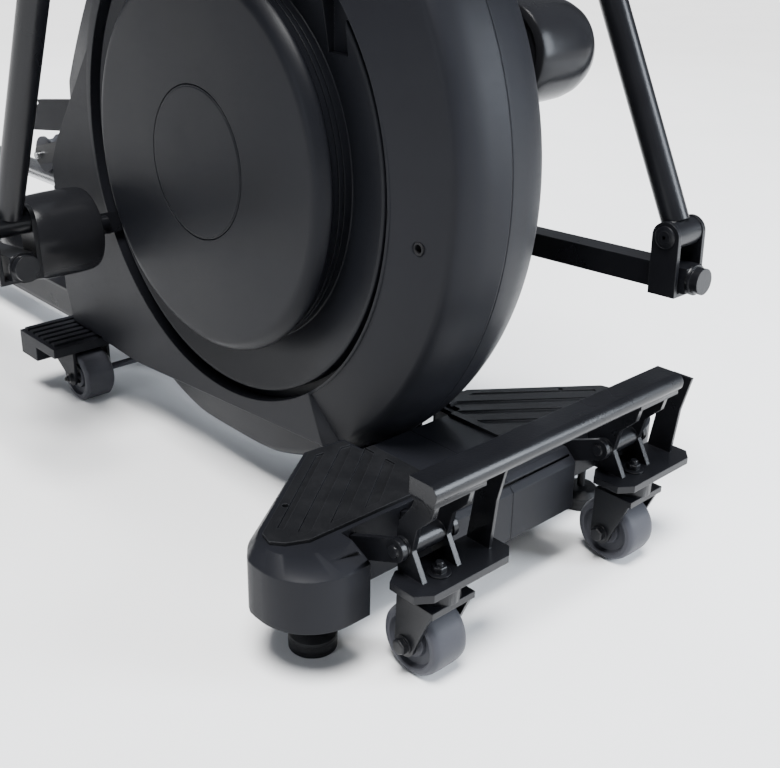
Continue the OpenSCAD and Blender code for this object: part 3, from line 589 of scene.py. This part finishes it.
# crowned drum skins of the housing, one to each half, with a fine seam between them
drumSettings = {
    "centre": (crankX - 0.008, 0, 0.430),
    "sides": 256,
    "steps": [(0.2680, 0.0770), (0.2680, 0.0802), (0.2930, 0.0802), (0.3000, 0.0789), (0.3700, 0.0647),
              (0.3724, 0.0641), (0.3756, 0.0626), (0.3782, 0.0602), (0.3808, 0.0556), (0.3832, 0.0501),
              (0.3859, 0.0423), (0.3882, 0.0341), (0.3896, 0.0255), (0.3907, 0.0162), (0.3916, 0.0090),
              (0.3921, 0.0030), (0.3922, 0.0010), (0.3918, 0.0003), (0.3890, 0.0003), (0.3860, 0.0160),
              (0.3830, 0.0340), (0.3780, 0.0500), (0.3690, 0.0600), (0.2930, 0.0770), (0.2680, 0.0770)],
    "opening": 0.2930,
    "inlet": (crankX + 0.329, -0.066, 0.386),
    "inletRadius": 0.0075,
    # the planes that end the skin: a point, and the outward direction
    "ends": [((-0.066, 0.860), (-0.7825, 0.6227)), ((-0.292, 0.576), (-0.7904, 0.6125)),
             ((0, 0.0618), (0, -1))],
}


def makeDrum(s):
    for side, out, turn in (("left", -1, axisYBack), ("right", 1, axisY)):
        skin = turnedPiece("drum", s["steps"], s["centre"], turn, s["sides"], "NOTHING")
        inEdit(skin)
        bpy.ops.mesh.select_all(action="SELECT")
        bpy.ops.mesh.remove_doubles(threshold=0.00001)
        bpy.ops.mesh.normals_make_consistent(inside=False)
        outOfEdit()
        cutters = [cutterRound(s["opening"], (crankX, out * 0.07, crankZ), 0.06)]
        if out < 0:
            cutters.append(cutterRound(s["inletRadius"], s["inlet"], 0.05, 48))
        cutAway(skin, cutters)
        inEdit(skin)
        for point, away in s["ends"]:
            bpy.ops.mesh.select_all(action="SELECT")
            bpy.ops.mesh.bisect(plane_co=(crankX + point[0], 0, point[1]), plane_no=(away[0], 0, away[1]),
                                use_fill=True, clear_outer=True)
        outOfEdit()
        skin.name = "drumSkin_" + side
        skin.data.name = skin.name
        finishAs(skin, "housing_" + side, 30)


makeDrum(drumSettings)
print("drum skins made")


# pods over the crank pins: crowned barrel, with a stepped ring on the inner face
podSettings = {
    "right": (0.2557, 0.176, 0.1303),
    "left": (-0.2557, -0.176, -0.1303),
    "steps": [(0.012, -0.050), (0.0125, -0.0555), (0.030, -0.0555), (0.0312, -0.0545), (0.0318, -0.052),
              (0.044, -0.052), (0.0455, -0.0545), (0.050, -0.0545), (0.0545, -0.0525), (0.0562, -0.047),
              (0.0568, -0.036), (0.0569, -0.02), (0.0567, 0), (0.0558, 0.018), (0.0532, 0.031),
              (0.0485, 0.042), (0.041, 0.0495), (0.030, 0.0542), (0.015, 0.0564), (0.004, 0.0569)],
    "core": [(0.016, -0.0535), (0.016, -0.0563), (0.0145, -0.0572), (0.009, -0.0572), (0.008, -0.0566),
             (0.002, -0.0566)],
}


def makePods(s):
    for side, turn in (("left", axisYBack), ("right", axisY)):
        place = (crankX + s[side][0], s[side][1], crankZ + s[side][2])
        barrel = turnedPiece("podBarrel", s["steps"], place, turn, 96)
        core = turnedPiece("podCore", s["core"], place, turn, 48)
        pod = finishAs(joined([barrel, core], "podShell_" + side), "pod_" + side, 40)
        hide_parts("pod_" + side)


makePods(podSettings)
print("pods made")


# caster wheels: rounded shoulders, a hub ring on both faces and an axle nut outside the fork
casterSettings = {
    "wheelX": crankX + 0.438,
    "wheelZ": 0.0375,
    "out": 0.154,
    "tyre": [(0.004, -0.0160), (0.0085, -0.0160), (0.0095, -0.0200), (0.0165, -0.0200), (0.0175, -0.0155),
             (0.0262, -0.0170), (0.0280, -0.0222), (0.0300, -0.0230), (0.0335, -0.0222), (0.0361, -0.0195),
             (0.0371, -0.0155), (0.0374, -0.0100), (0.0375, 0), (0.0374, 0.0100), (0.0371, 0.0155),
             (0.0361, 0.0195), (0.0335, 0.0222), (0.0300, 0.0230), (0.0280, 0.0222), (0.0262, 0.0170),
             (0.0175, 0.0155), (0.0165, 0.0200), (0.0095, 0.0200), (0.0085, 0.0160), (0.004, 0.0160)],
    "axle": [(0.0030, -0.0362), (0.0045, -0.0355), (0.0049, -0.0345), (0.0049, 0.0345), (0.0045, 0.0355),
             (0.0030, 0.0362)],
    "washer": [(0.0098, 0.0292), (0.0100, 0.0295), (0.0100, 0.0304), (0.0098, 0.0307)],
    "nut": [(0.0072, 0.0307), (0.0084, 0.0315), (0.0084, 0.0365), (0.0072, 0.0378)],
}


def makeCasters(s):
    for side, out in (("left", -1), ("right", 1)):
        place = (s["wheelX"], out * s["out"], s["wheelZ"])
        tyre = turnedPiece("caster_tyre_" + side, s["tyre"], place, axisY, 96)
        finishAs(tyre, "caster_wheel_" + side, 30)
        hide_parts("caster_wheel_" + side)
        parts = [turnedPiece("axle", s["axle"], place, axisY, 32)]
        for turn in (axisY, axisYBack):
            parts.append(turnedPiece("washer", s["washer"], place, turn, 32))
            parts.append(turnedPiece("nut", s["nut"], place, turn, 6))
        finishAs(joined(parts, "caster_axle_" + side), "caster_wheel_" + side, 25, None, "frame_paint")


makeCasters(casterSettings)
print("casters made")


# bolts and nuts: (name, place, turn, size, node it rides with)
boltSettings = {
    "head": [(1.0, 0.0), (1.12, 0.02), (1.12, 0.16), (1.0, 0.2)],
    "hex": [(0.66, 0.2), (0.74, 0.28), (0.74, 0.72), (0.66, 0.8)],
    "stud": [(0.4, 0.8), (0.4, 1.1), (0.34, 1.2)],
    "kingpin": (0.453, 0.114, 0.0105),
    "hinge": (0.430, 0.142, 0.0085),
    "hingeHalf": 0.029,
    "transport": (-0.343, 0.0375, 0.0065),
    "transportOut": 0.092,
    "transportHalf": 0.033,
}


def boltPiece(s, name, place, turn, size, node):
    parts = []
    for part, sides in (("head", 32), ("hex", 6), ("stud", 24)):
        steps = [(radius * size, height * size) for radius, height in s[part]]
        parts.append(turnedPiece(part, steps, place, turn, sides))
    return finishAs(joined(parts, name), node, 25, None, "frame_paint")


def makeBolts(s):
    for side, out in (("left", -1), ("right", 1)):
        caster = out * casterSettings["out"]
        x, z, size = s["kingpin"]
        boltPiece(s, "kingpinNut_" + side, (crankX + x, caster, z), (0, 0, 0), size, "lift_carriage")
        for key, turn, way in (("A", axisY, 1), ("B", axisYBack, -1)):
            x, z, size = s["hinge"]
            place = (crankX + x, caster + way * s["hingeHalf"], z)
            boltPiece(s, "hingeBolt" + key + "_" + side, place, turn, size, "front_beam")
            x, z, size = s["transport"]
            place = (crankX + x, out * s["transportOut"] + way * s["transportHalf"], z)
            boltPiece(s, "transportBolt" + key + "_" + side, place, turn, size, "mid_block")


makeBolts(boltSettings)
print("bolts made")


# swing arms: collar and cap on the shaft hub, domed pin caps on the clevis
swingSettings = {
    "x": crankX + 0.1305, "z": 0.900, "out": 0.282, "lean": 25.8, "length": 0.610,
    "cap": [(0.0205, 0.0215), (0.0215, 0.0225), (0.0215, 0.0250), (0.0200, 0.0268), (0.0150, 0.0280),
            (0.0060, 0.0286)],
    "pin": [(0.0120, 0.0265), (0.0130, 0.0272), (0.0130, 0.0284), (0.0118, 0.0293), (0.0070, 0.0299),
            (0.0020, 0.0300)],
    "bend": 0.380, "tilt": 18, "gripStart": 0.060,
}


# a point of a swing arm, by its height above the shaft
def swingPoint(s, out, up, beyond=0):
    spot = Matrix.Translation((s["x"], out * s["out"], s["z"]))
    spot = spot @ Matrix.Rotation(math.radians(-out * s["lean"]), 4, "Y") @ Matrix.Translation((0, 0, up))
    spot = spot @ Matrix.Rotation(math.radians(-s["tilt"]), 4, "Y") @ Matrix.Translation((0, 0, beyond))
    return tuple(spot.translation)


def makeSwingParts(s):
    for side, out in (("left", -1), ("right", 1)):
        hub = swingPoint(s, out, 0)
        low = swingPoint(s, out, -s["length"])
        caps = [turnedPiece("cap", s["cap"], hub, turn, 64) for turn in (axisY, axisYBack)]
        finishAs(joined(caps, "swingCap_" + side), "swing_arm_" + side, 40)
        pins = [turnedPiece("pin", s["pin"], low, turn, 48) for turn in (axisY, axisYBack)]
        finishAs(joined(pins, "clevisCap_" + side), "link_bar_" + side, 40)


makeSwingParts(swingSettings)
print("swing parts made")


# the mast's rearward lean, in degrees
mastLean = math.degrees(math.atan2(0.0295, 0.790))


# foam grips with moulded rings and a domed end
gripSettings = {
    "swingLength": 0.276,
    "hornLength": 0.176,
    "hornOut": 0.150,
    "hornUp": 0.250,
    "hornStart": 0.060,
    "hornTilt": 84,
    "ringStart": 0.018,
    "inner": 0.0160,
    "outer": 0.0200,
    "groove": 0.0188,
    "pitch": 0.012,
    "rings": 7,
}


def ringSteps(s, height):
    steps = []
    for ring in range(s["rings"]):
        steps += [(s["groove"], height + 0.001), (s["groove"], height + 0.0035)]
        steps.append((s["outer"], height + 0.0045))
        height += s["pitch"]
        steps.append((s["outer"], height))
    return steps


def gripSteps(s, length):
    upper = length - s["ringStart"] - s["rings"] * s["pitch"]
    steps = [(s["inner"], 0), (s["groove"], 0), (s["outer"], 0.0015), (s["outer"], s["ringStart"])]
    steps += ringSteps(s, s["ringStart"]) + [(s["outer"], upper)] + ringSteps(s, upper)
    steps += [(s["outer"], length - 0.005), (0.0185, length - 0.0018)]
    return steps + [(0.0140, length - 0.0002), (0.0060, length - 0.0001)]


def makeGrips(s):
    swing = swingSettings
    for side, out in (("left", -1), ("right", 1)):
        place = swingPoint(swing, out, swing["bend"], swing["gripStart"])
        turn = (0, -out * swing["lean"] - swing["tilt"], 0)
        grip = turnedPiece("foamGrip_" + side, gripSteps(s, s["swingLength"]), place, turn, 48)
        finishAs(grip, "swing_grip_" + side, 30)
        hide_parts("swing_grip_" + side)
    horns = []
    for out in (-1, 1):
        spot = Matrix.Translation((swing["x"], 0, swing["z"]))
        spot = spot @ Matrix.Rotation(math.radians(-mastLean), 4, "Y")
        spot = spot @ Matrix.Translation((0, out * s["hornOut"], s["hornUp"]))
        spot = spot @ Matrix.Rotation(math.radians(-s["hornTilt"]), 4, "Y")
        spot = spot @ Matrix.Translation((0, 0, s["hornStart"]))
        steps = gripSteps(s, s["hornLength"])
        turn = (0, -mastLean - s["hornTilt"], 0)
        horns.append(turnedPiece("hornGrip", steps, tuple(spot.translation), turn, 48))
    grips = finishAs(joined(horns, "hornGrips"), "handlebar_grips", 30)
    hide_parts("handlebar_grips")


makeGrips(gripSettings)
print("grips made")

# console: bezel round the display, key rings, a lower shelf and small buttons
consoleSettings = {
    "lean": 62,
    "place": (-0.034, 0, 0.4003),
    "bezel": (0.206, 0.108, 0.0035),
    "window": (0.182, 0.084),
    "screen": (0.030, 0, 0.0031),
    "ring": [(0.0135, 0.0025), (0.0150, 0.0028), (0.0158, 0.0036), (0.0156, 0.0046), (0.0146, 0.0049),
             (0.0128, 0.0044), (0.0126, 0.0025), (0.0135, 0.0025)],
    "keys": (-0.062, 0.030),
    "button": [(0.0062, 0.0025), (0.0064, 0.0040), (0.0058, 0.0047), (0.0045, 0.0044), (0.0020, 0.0043)],
    "buttons": [(-0.062, -0.100), (-0.062, -0.075), (-0.062, 0.075), (-0.062, 0.100)],
    "shelf": (0.006, 0.250, 0.016),
    "shelfPlace": (-0.086, 0, 0.009),
}
consoleTurn = -mastLean - consoleSettings["lean"]


# a point of the console's face, in its own leaning frame
def consolePoint(s, x, y, z):
    spot = Matrix.Translation((swingSettings["x"], 0, swingSettings["z"]))
    spot = spot @ Matrix.Rotation(math.radians(-mastLean), 4, "Y") @ Matrix.Translation(s["place"])
    spot = spot @ Matrix.Rotation(math.radians(-s["lean"]), 4, "Y") @ Matrix.Translation((x, y, z))
    return tuple(spot.translation)


def makeConsole(s):
    nothingSelected()
    bpy.ops.mesh.primitive_cube_add(size=1)
    bezel = bpy.context.object
    bezel.scale = (s["bezel"][1], s["bezel"][0], s["bezel"][2])
    bpy.ops.object.transform_apply(location=False, rotation=False, scale=True)
    hole = cutterBlock((s["window"][1], s["window"][0], 0.02), Matrix.Identity(4))
    cutAway(bezel, [hole])
    settle(bezel, "displayBezel", consolePoint(s, *s["screen"]), (0, consoleTurn, 0))
    roundEdges(bezel, 0.0012)
    finishAs(bezel, "console_body", 30, finishes["pod_shell"], "pod_shell")
    rings = []
    for out in (-1, 1):
        place = consolePoint(s, s["keys"][0], out * s["keys"][1], 0)
        rings.append(turnedPiece("ring", s["ring"], place, (0, consoleTurn, 0), 48, "NOTHING"))
    finishAs(joined(rings, "keyRings"), "console_body", 35, finishes["steel"], "steel")
    caps = []
    for x, y in s["buttons"]:
        caps.append(turnedPiece("button", s["button"], consolePoint(s, x, y, 0), (0, consoleTurn, 0), 32))
    finishAs(joined(caps, "smallButtons"), "console_body", 35, finishes["key"], "key")
    place = consolePoint(s, *s["shelfPlace"])
    shelf = blockPiece("readingShelf", s["shelf"], place, (0, consoleTurn, 0), 0.0022)
    finishAs(shelf, "console_body")


makeConsole(consoleSettings)
print("console made")


# ribbed rubber tread in each pedal
treadSettings = {
    "right": 1,
    "left": -1,
    "size": (0.300, 0.096),
    "ribs": 31,
    "base": 0.0015,
    "height": 0.0022,
    "arm": 1.240,
    "roller": 0.235,
    "along": 0.230,
    "above": 0.0253,
    "floor": 0.0225,
    "shift": -0.006,
    "out": 0.176,
    "pin": (0.2557, 0.1303),
}


def makeTreads(s):
    for side in ("left", "right"):
        out = s[side]
        rise = crankZ + out * s["pin"][1] - s["roller"]
        slope = math.degrees(math.asin(rise / s["arm"]))
        startX = crankX + out * s["pin"][0] - math.sqrt(s["arm"] ** 2 - rise ** 2)
        spot = Matrix.Translation((startX, out * s["out"], s["roller"]))
        spot = spot @ Matrix.Rotation(math.radians(-slope), 4, "Y")
        spot = spot @ Matrix.Translation((s["along"], 0, s["above"]))
        spot = spot @ Matrix.Rotation(math.radians(slope / 2), 4, "Y")
        spot = spot @ Matrix.Translation((s["shift"], 0, s["floor"]))
        nothingSelected()
        bpy.ops.mesh.primitive_grid_add(x_subdivisions=s["ribs"], y_subdivisions=1, size=1)
        tread = bpy.context.object
        tread.scale = (s["size"][0], s["size"][1], 1)
        bpy.ops.object.transform_apply(location=False, rotation=False, scale=True)
        inEdit(tread)
        bpy.ops.mesh.select_all(action="SELECT")
        bpy.ops.mesh.extrude_region_move(TRANSFORM_OT_translate={"value": (0, 0, s["base"])})
        bpy.ops.mesh.select_all(action="DESELECT")
        outOfEdit()
        pitch = s["size"][0] / s["ribs"]
        for face in tread.data.polygons:
            row = int((face.center.x + s["size"][0] / 2) / pitch)
            face.select = face.center.z > s["base"] * 0.9 and row % 2 == 1
        bpy.ops.object.mode_set(mode="EDIT")
        bpy.ops.mesh.extrude_region_move(TRANSFORM_OT_translate={"value": (0, 0, s["height"])})
        bpy.ops.transform.resize(value=(1, 0.94, 1), center_override=(0, 0, 0))
        outOfEdit()
        settle(tread, "pedalTread_" + side, tuple(spot.translation), (0, -slope / 2, 0))
        roundEdges(tread, 0.0005, 2)
        finishAs(tread, "pedal_" + side, 30, finishes["pad"], "pad")


makeTreads(treadSettings)
print("treads made")


# small parts: rail end caps and foot rings
smallSettings = {
    "railCap": [(0.0165, -0.004), (0.0165, 0.0), (0.0188, 0.0), (0.0190, 0.0022), (0.0178, 0.0046),
                (0.0140, 0.0058), (0.0040, 0.0062)],
    "railEnd": crankX - 0.880,
    "railZ": 0.188,
    "railOut": 0.176,
    "ringHeights": (0.004, 0.0105),
    "pads": [(0.341, 0.217), (-1.583, 0.255)],
    "ring": [(0.0205, 0.0), (0.0244, 0.0), (0.0251, 0.0010), (0.0253, 0.0032), (0.0246, 0.0042),
             (0.0205, 0.0044), (0.0205, 0.0)],
}


def makeSmallParts(s):
    caps = []
    for out in (-1, 1):
        place = (s["railEnd"], out * s["railOut"], s["railZ"])
        caps.append(turnedPiece("railCap", s["railCap"], place, (0, 90, 0), 48))
    finishAs(joined(caps, "railCaps"), "roller_rails", 40, finishes["pod_shell"], "pod_shell")
    for index, node in enumerate(("front_feet", "rear_feet")):
        along, out = s["pads"][index]
        rings = []
        for side in (-1, 1):
            for height in s["ringHeights"]:
                place = (crankX + along, side * out, height)
                rings.append(turnedPiece("ring", s["ring"], place, (0, 0, 0), 64, "NOTHING"))
        finishAs(joined(rings, node + "_rings"), node, 40, finishes["pad"], "pad")


makeSmallParts(smallSettings)
print("small parts made")
